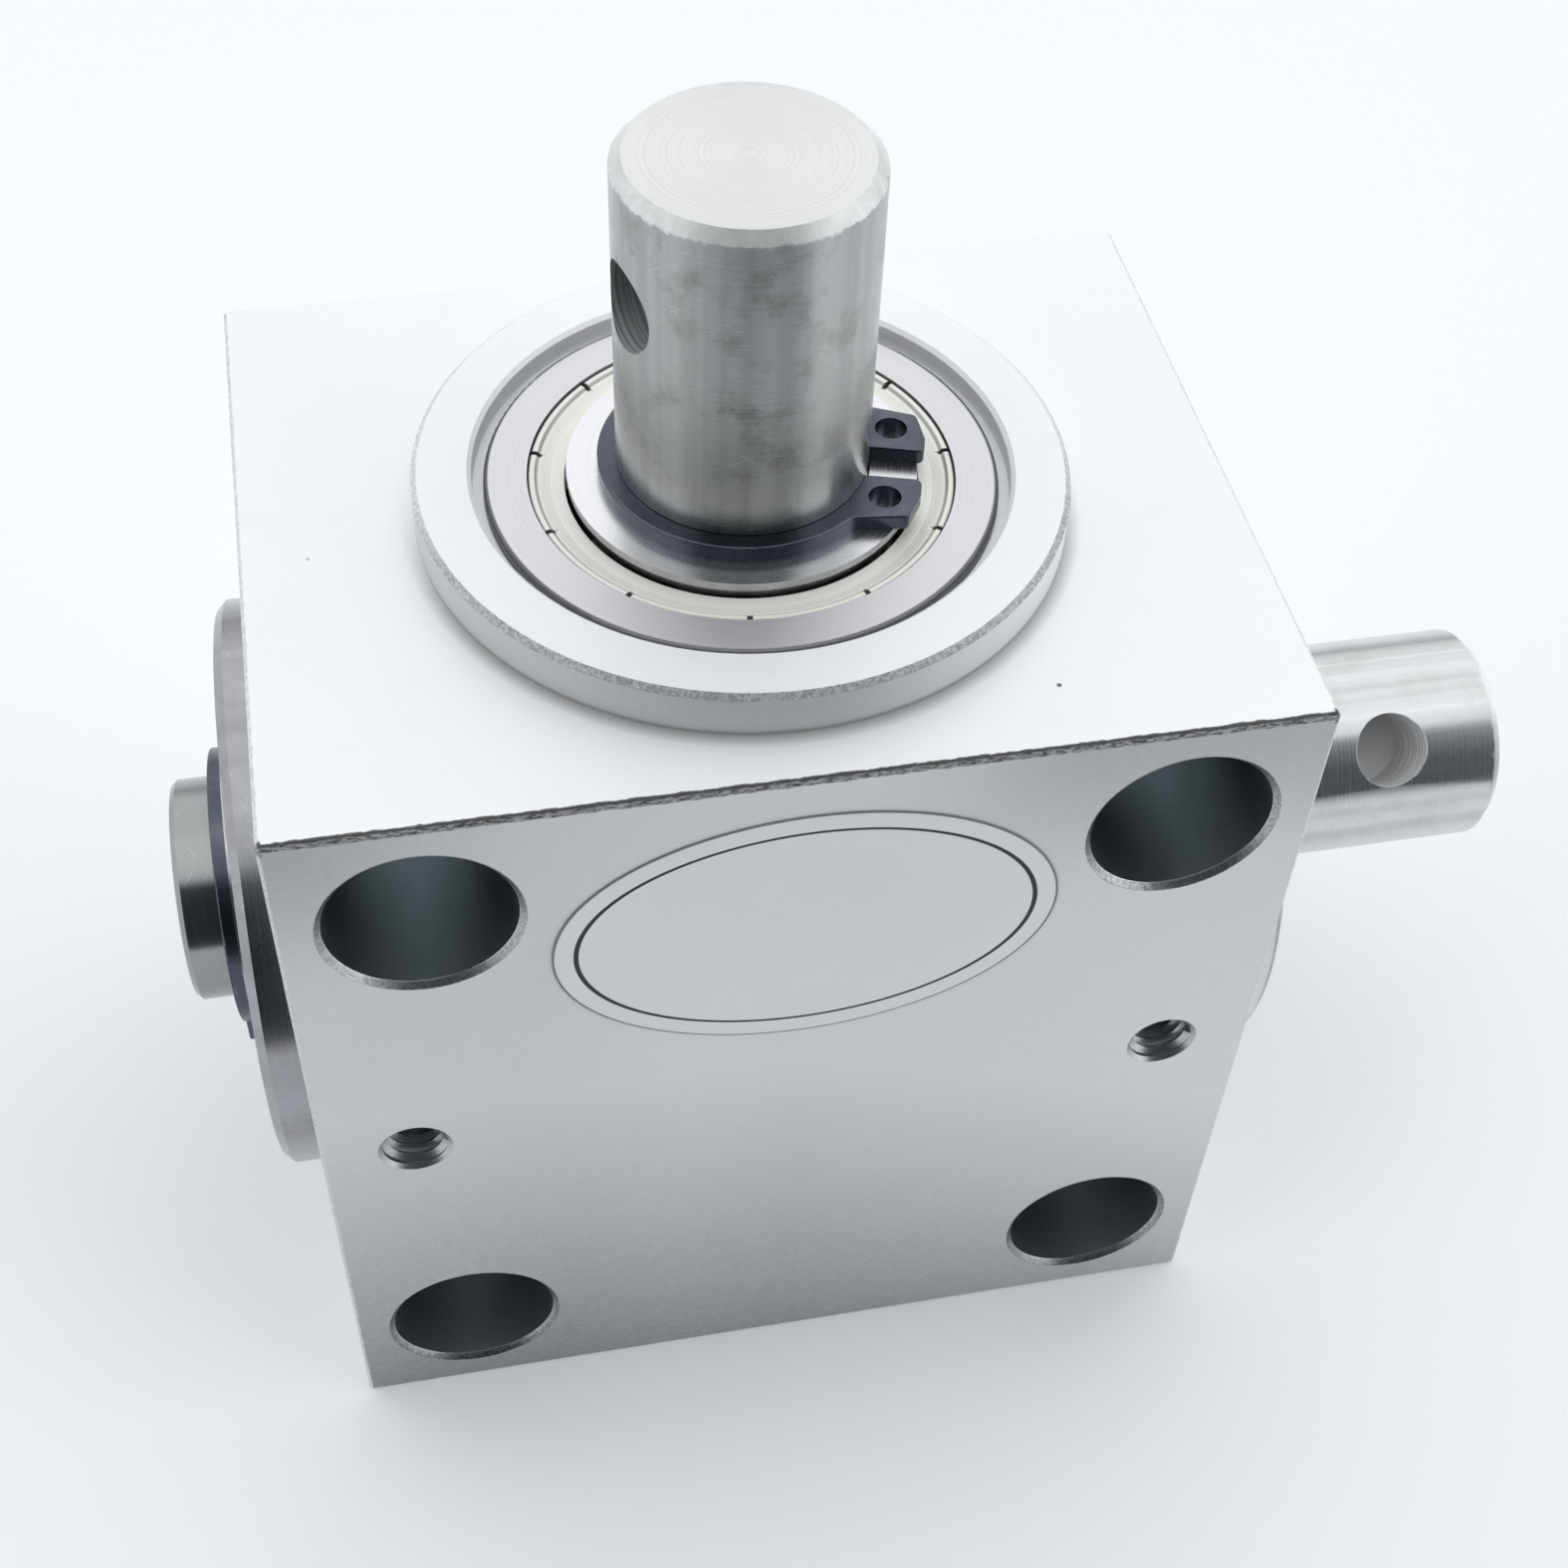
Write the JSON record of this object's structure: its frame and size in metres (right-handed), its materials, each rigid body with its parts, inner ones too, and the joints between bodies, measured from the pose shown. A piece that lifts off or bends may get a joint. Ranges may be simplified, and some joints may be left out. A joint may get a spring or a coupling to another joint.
{
  "type": "right angle gearbox",
  "caption": "Compact block gearbox that turns the drive of a vertical shaft through a right angle to a cross shaft by equal bevel gears.",
  "frame": {"origin": "centre of the block's bottom face", "axes": "+Z along the vertical shaft to its free end, +X along the cross shaft to its long end, the holes' labelled front is -Y"},
  "size_m": [0.0916, 0.0464, 0.084],
  "materials": {
    "blasted_aluminium": "bead blasted and clear anodised, matt",
    "ground_steel": "ground bright",
    "gear_steel": "machined, oiled",
    "bearing_steel": "fine ground",
    "ball_steel": "polished",
    "cage_steel": "pressed sheet",
    "shield_steel": "pressed sheet, bright",
    "shim_steel": "rolled sheet",
    "blackened_steel": "phosphated black",
    "label": "satin silver film, bare"
  },
  "bodies": {
    "housing": {"housing": "blasted_aluminium", "top_bearing_outer_ring": "bearing_steel", "lower_bearing_outer_ring": "bearing_steel", "left_bearing_outer_ring": "bearing_steel", "right_bearing_outer_ring": "bearing_steel", "top_bearing_shield": "shield_steel", "left_bearing_shield": "shield_steel", "right_bearing_shield": "shield_steel"},
    "cross_shaft": {"cross_shaft": "ground_steel", "cross_gear": "gear_steel", "cross_gear_key": "gear_steel", "cross_spacer": "gear_steel", "left_bearing_inner_ring": "bearing_steel", "right_bearing_inner_ring": "bearing_steel", "left_shim": "shim_steel", "right_shim": "shim_steel", "left_circlip": "blackened_steel", "right_circlip": "blackened_steel", "right_inner_circlip": "blackened_steel"},
    "vertical_shaft": {"vertical_shaft": "ground_steel", "vertical_gear": "gear_steel", "vertical_gear_key": "gear_steel", "top_bearing_inner_ring": "bearing_steel", "lower_bearing_inner_ring": "bearing_steel", "top_shim": "shim_steel", "top_circlip": "blackened_steel"},
    "top_bearing_ball_set": {"top_bearing_balls": "ball_steel", "top_bearing_cage": "cage_steel"},
    "lower_bearing_ball_set": {"lower_bearing_balls": "ball_steel", "lower_bearing_cage": "cage_steel"},
    "left_bearing_ball_set": {"left_bearing_balls": "ball_steel", "left_bearing_cage": "cage_steel"},
    "right_bearing_ball_set": {"right_bearing_balls": "ball_steel", "right_bearing_cage": "cage_steel"}
  },
  "joints": [
    {"name": "cross_shaft_turn", "type": "hinge", "parent": "housing", "child": "cross_shaft", "pos_m": [0, 0, 0.03], "axis": [1, 0, 0], "continuous": true},
    {"name": "vertical_shaft_turn", "type": "hinge", "parent": "housing", "child": "vertical_shaft", "pos_m": [0, 0, 0.03], "axis": [0, 0, 1], "continuous": true},
    {"name": "top_bearing_roll", "type": "hinge", "parent": "housing", "child": "top_bearing_ball_set", "pos_m": [0, 0, 0.03], "axis": [0, 0, 1], "continuous": true},
    {"name": "lower_bearing_roll", "type": "hinge", "parent": "housing", "child": "lower_bearing_ball_set", "pos_m": [0, 0, 0.03], "axis": [0, 0, 1], "continuous": true},
    {"name": "left_bearing_roll", "type": "hinge", "parent": "housing", "child": "left_bearing_ball_set", "pos_m": [0, 0, 0.03], "axis": [1, 0, 0], "continuous": true},
    {"name": "right_bearing_roll", "type": "hinge", "parent": "housing", "child": "right_bearing_ball_set", "pos_m": [0, 0, 0.03], "axis": [1, 0, 0], "continuous": true}
  ],
  "couplings": [
    {"joint": "vertical_shaft_turn", "follows": "cross_shaft_turn", "ratio": 1},
    {"joint": "top_bearing_roll", "follows": "cross_shaft_turn", "ratio": 0.39693},
    {"joint": "lower_bearing_roll", "follows": "cross_shaft_turn", "ratio": 0.39693},
    {"joint": "left_bearing_roll", "follows": "cross_shaft_turn", "ratio": 0.39693},
    {"joint": "right_bearing_roll", "follows": "cross_shaft_turn", "ratio": 0.39693}
  ]
}
